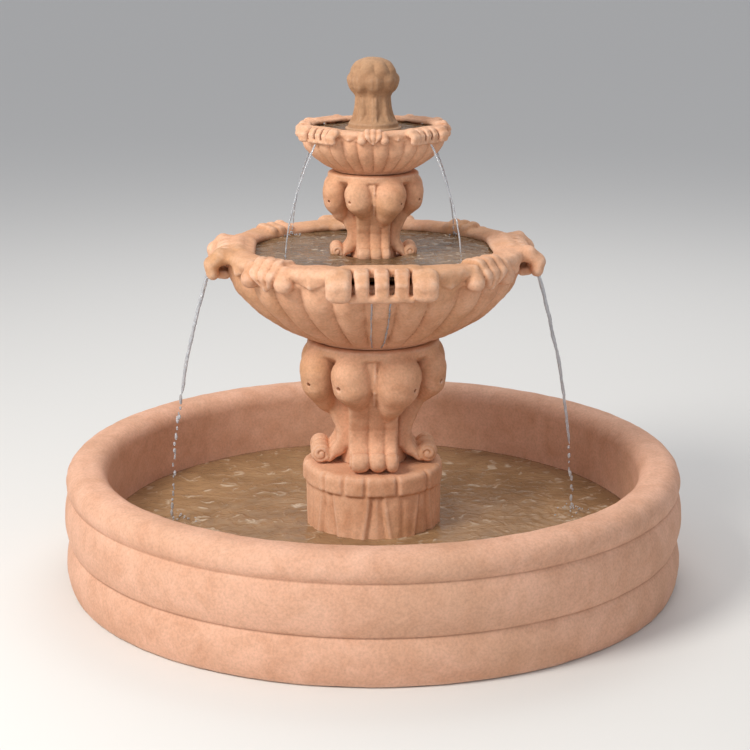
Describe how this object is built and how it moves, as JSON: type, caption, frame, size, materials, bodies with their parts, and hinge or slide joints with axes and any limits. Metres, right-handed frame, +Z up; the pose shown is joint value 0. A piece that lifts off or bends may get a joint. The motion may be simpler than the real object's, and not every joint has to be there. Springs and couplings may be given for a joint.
{
  "type": "tiered water fountain",
  "caption": "Tiered garden fountain in cast stone: round pool, carved pedestals, two spouted bowls and a bud finial, with pump, valve and riser inside.",
  "frame": {"origin": "on the ground, at the centre of the round pool's underside", "axes": "+Z up along the fountain's axis, front towards -Y with one spout of the lower bowl facing it, +X to the right"},
  "size_m": [1.8298, 1.8298, 1.5274],
  "materials": {
    "pool_stone": "honed cast stone, pink tan",
    "plinth_stone": "cast stone with worn edges",
    "pedestal_stone": "carved cast stone",
    "bowl_stone": "carved cast stone, faint water staining",
    "finial_stone": "carved cast stone, darker at the top",
    "water": "brownish standing and falling water",
    "copper": "dull copper pipe",
    "brass": "machined brass",
    "steel": "stainless steel",
    "grey_rubber": "matte",
    "black_rubber": "matte",
    "black_plastic": "moulded, fine texture",
    "grey_plastic": "moulded, fine texture",
    "white_plastic": "moulded, smooth",
    "ivory_plastic": "moulded, smooth",
    "magnet": "ferrite, ground",
    "shaft_ceramic": "polished",
    "vinyl": "translucent vinyl, soft sheen",
    "red_vinyl": "dipped vinyl"
  },
  "bodies": {
    "root": {"pool_basin": "pool_stone", "plinth": "plinth_stone", "lower_pedestal": "pedestal_stone", "upper_pedestal": "pedestal_stone", "lower_bowl": "bowl_stone", "upper_bowl": "bowl_stone", "drain_sleeve": "white_plastic", "lower_setting_pads": "grey_rubber", "upper_setting_pads": "grey_rubber", "lower_bowl_stopper": "grey_rubber", "upper_bowl_stopper": "grey_rubber", "lower_riser": "copper", "upper_riser": "copper", "riser_coupling": "copper", "riser_nozzle": "brass", "pump_housing": "black_plastic", "pump_volute": "black_plastic", "rotor_shaft": "shaft_ceramic", "shaft_bushes": "grey_rubber", "suction_feet": "black_rubber", "cord_gland": "black_rubber", "outlet_barb": "grey_plastic", "pump_hose": "vinyl", "hose_clamps": "steel", "clamp_screws": "steel", "valve_body": "brass", "valve_seats": "white_plastic"},
    "pump_rotor": {"rotor_magnet": "magnet", "impeller": "ivory_plastic"},
    "valve_handle": {"valve_ball": "steel", "valve_stem": "brass", "valve_lever": "steel", "lever_grip": "red_vinyl", "lever_nut": "steel"},
    "strainer": {"intake_strainer": "grey_plastic"},
    "service_door": {"plinth_door": "plinth_stone"},
    "plug": {"drain_plug": "grey_rubber", "plug_ring": "steel"},
    "top_finial": {"finial": "finial_stone"}
  },
  "joints": [
    {"name": "rotor_spin", "type": "hinge", "parent": "root", "child": "pump_rotor", "pos_m": [0, -0.03, 0.102], "axis": [0, 1, 0], "continuous": true},
    {"name": "valve_turn", "type": "hinge", "parent": "root", "child": "valve_handle", "pos_m": [0, 0, 0.242], "axis": [0, 1, 0], "range_deg": [0, 90]},
    {"name": "strainer_slide", "type": "slide", "parent": "root", "child": "strainer", "axis": [0, 1, 0], "range_m": [0, 0.045]},
    {"name": "door_slide", "type": "slide", "parent": "root", "child": "service_door", "axis": [0, 1, 0], "range_m": [0, 0.16]},
    {"name": "plug_lift", "type": "slide", "parent": "root", "child": "plug", "axis": [0, 0, 1], "range_m": [0, 0.08]},
    {"name": "finial_lift", "type": "slide", "parent": "root", "child": "top_finial", "axis": [0, 0, 1], "range_m": [0, 0.15]}
  ]
}
